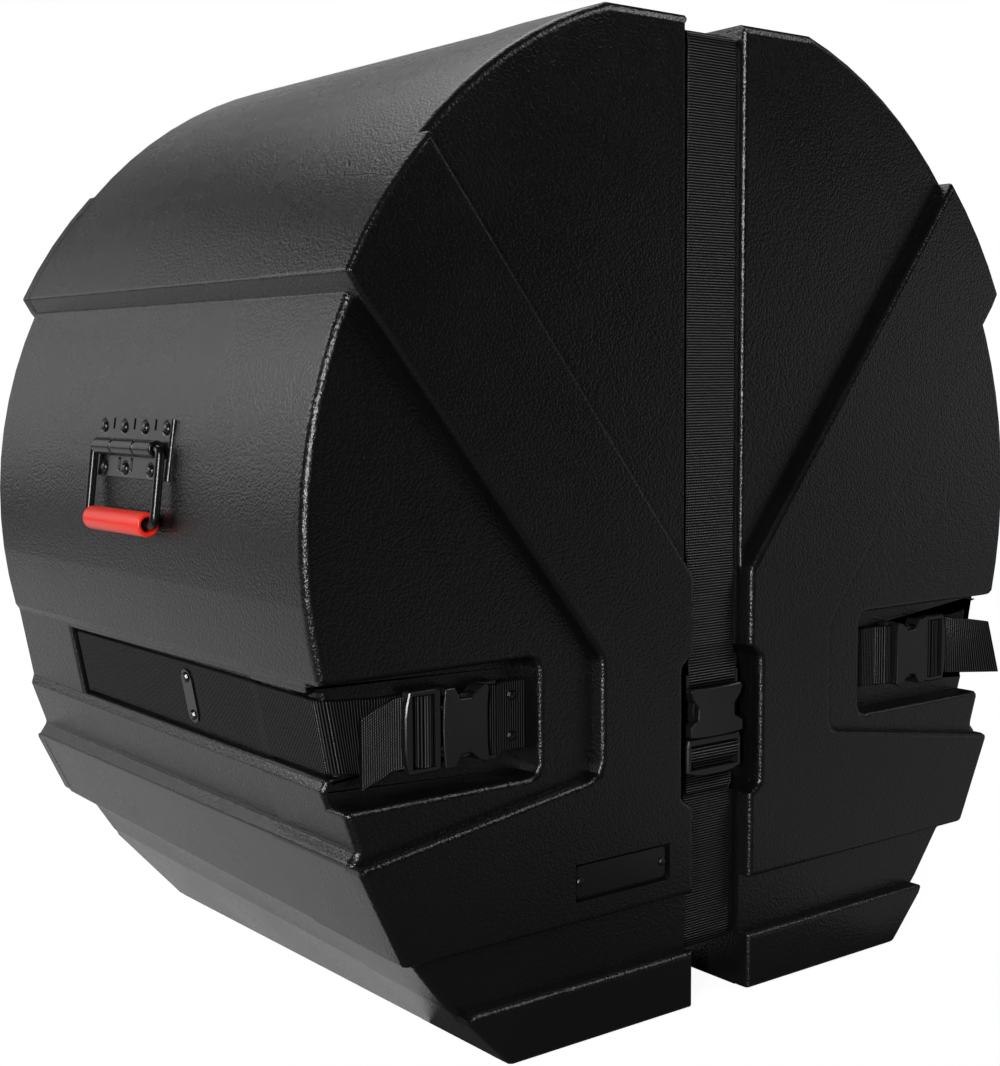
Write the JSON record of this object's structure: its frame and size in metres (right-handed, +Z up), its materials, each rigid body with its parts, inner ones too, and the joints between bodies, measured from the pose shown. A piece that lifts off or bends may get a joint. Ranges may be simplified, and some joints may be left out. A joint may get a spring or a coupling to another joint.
{
  "type": "bass drum case",
  "caption": "Two-shell moulded bass drum case with a lift-off front lid, webbing straps with side release buckles and drop handles on both sides.",
  "frame": {"origin": "on the floor below the middle of the case", "axes": "+Z up, -Y towards the lid's face, +X to the right seen from the lid's side"},
  "size_m": [0.729, 0.49, 0.71],
  "materials": {
    "polyethylene": "fine pebbled, low sheen",
    "webbing": "ribbed woven",
    "acetal": "satin moulded",
    "steel": "glossy black coat",
    "grip_vinyl": "soft gloss vinyl",
    "foam": "open cell",
    "badge": "dark satin, bare"
  },
  "bodies": {
    "case": {"rear_shell": "polyethylene", "rear_foam_pad": "foam", "left_handle_plate": "steel", "left_handle_backing": "steel", "left_strap_rear": "webbing", "left_strap_bridge": "webbing", "left_strap_anchor_plate": "steel", "left_strap_anchor_backing": "steel", "right_handle_plate": "steel", "right_handle_backing": "steel", "right_strap_rear": "webbing", "right_strap_bridge": "webbing", "right_strap_anchor_plate": "steel", "right_strap_anchor_backing": "steel", "top_strap_rear": "webbing", "top_strap_bridge": "webbing", "top_anchor_plate": "steel", "top_anchor_backing": "steel", "bottom_strap_rear": "webbing", "bottom_strap_bridge": "webbing", "bottom_anchor_plate": "steel", "bottom_anchor_backing": "steel"},
    "lid": {"front_shell": "polyethylene", "front_foam_pad": "foam", "badge_plate": "badge", "badge_left_screw": "steel", "badge_right_screw": "steel", "top_strap_front": "webbing", "bottom_strap_front": "webbing", "left_strap_front": "webbing", "left_socket_webbing": "webbing", "left_socket_backing": "steel", "right_strap_front": "webbing", "right_socket_webbing": "webbing", "right_socket_backing": "steel", "left_buckle_socket": "acetal", "right_buckle_socket": "acetal", "centre_buckle_socket": "acetal"},
    "left_handle": {"left_handle_bail": "steel", "left_handle_grip": "grip_vinyl"},
    "right_handle": {"right_handle_bail": "steel", "right_handle_grip": "grip_vinyl"},
    "left_plug": {"left_buckle_plug": "acetal", "left_strap_tail": "webbing"},
    "left_upper_arm": {"left_buckle_upper_arm": "acetal"},
    "left_lower_arm": {"left_buckle_lower_arm": "acetal"},
    "right_plug": {"right_buckle_plug": "acetal", "right_strap_tail": "webbing"},
    "right_upper_arm": {"right_buckle_upper_arm": "acetal"},
    "right_lower_arm": {"right_buckle_lower_arm": "acetal"},
    "centre_plug": {"centre_buckle_plug": "acetal", "centre_strap_tail": "webbing"},
    "centre_right_arm": {"centre_buckle_right_arm": "acetal"},
    "centre_left_arm": {"centre_buckle_left_arm": "acetal"}
  },
  "joints": [
    {"name": "lid_slide", "type": "slide", "parent": "case", "child": "lid", "axis": [0, -1, 0], "range_m": [0, 0.15], "deforming": ["left_strap_bridge", "right_strap_bridge", "top_strap_bridge", "bottom_strap_bridge"]},
    {"name": "left_handle_swing", "type": "hinge", "parent": "case", "child": "left_handle", "pos_m": [-0.34938, -0.0045, 0.4115], "axis": [0, 1, 0], "range_deg": [0, 100]},
    {"name": "right_handle_swing", "type": "hinge", "parent": "case", "child": "right_handle", "pos_m": [0.34938, -0.0045, 0.4115], "axis": [0, -1, 0], "range_deg": [0, 100]},
    {"name": "left_plug_slide", "type": "slide", "parent": "lid", "child": "left_plug", "axis": [-1, 0, 0], "range_m": [0, 0.03]},
    {"name": "left_upper_arm_squeeze", "type": "hinge", "parent": "left_plug", "child": "left_upper_arm", "pos_m": [-0.2359, -0.2159, 0.245], "axis": [0, 1, 0], "range_deg": [0, 8], "stiffness_Nm_per_rad": 0.5},
    {"name": "left_lower_arm_squeeze", "type": "hinge", "parent": "left_plug", "child": "left_lower_arm", "pos_m": [-0.2359, -0.2159, 0.218], "axis": [0, 1, 0], "range_deg": [-8, 0], "stiffness_Nm_per_rad": 0.5},
    {"name": "right_plug_slide", "type": "slide", "parent": "lid", "child": "right_plug", "axis": [1, 0, 0], "range_m": [0, 0.03]},
    {"name": "right_upper_arm_squeeze", "type": "hinge", "parent": "right_plug", "child": "right_upper_arm", "pos_m": [0.2534, -0.2159, 0.245], "axis": [0, -1, 0], "range_deg": [0, 8], "stiffness_Nm_per_rad": 0.5},
    {"name": "right_lower_arm_squeeze", "type": "hinge", "parent": "right_plug", "child": "right_lower_arm", "pos_m": [0.2534, -0.2159, 0.218], "axis": [0, -1, 0], "range_deg": [-8, 0], "stiffness_Nm_per_rad": 0.5},
    {"name": "centre_plug_slide", "type": "slide", "parent": "lid", "child": "centre_plug", "axis": [0, 0, -1], "range_m": [0, 0.03]},
    {"name": "centre_right_arm_squeeze", "type": "hinge", "parent": "centre_plug", "child": "centre_right_arm", "pos_m": [0.0135, -0.2278, 0.1991], "axis": [0, -1, 0], "range_deg": [0, 8], "stiffness_Nm_per_rad": 0.5},
    {"name": "centre_left_arm_squeeze", "type": "hinge", "parent": "centre_plug", "child": "centre_left_arm", "pos_m": [-0.0135, -0.2278, 0.1991], "axis": [0, -1, 0], "range_deg": [-8, 0], "stiffness_Nm_per_rad": 0.5}
  ],
  "couplings": [
    {"joint": "left_lower_arm_squeeze", "follows": "left_upper_arm_squeeze", "ratio": -1},
    {"joint": "right_lower_arm_squeeze", "follows": "right_upper_arm_squeeze", "ratio": -1},
    {"joint": "centre_left_arm_squeeze", "follows": "centre_right_arm_squeeze", "ratio": -1}
  ]
}
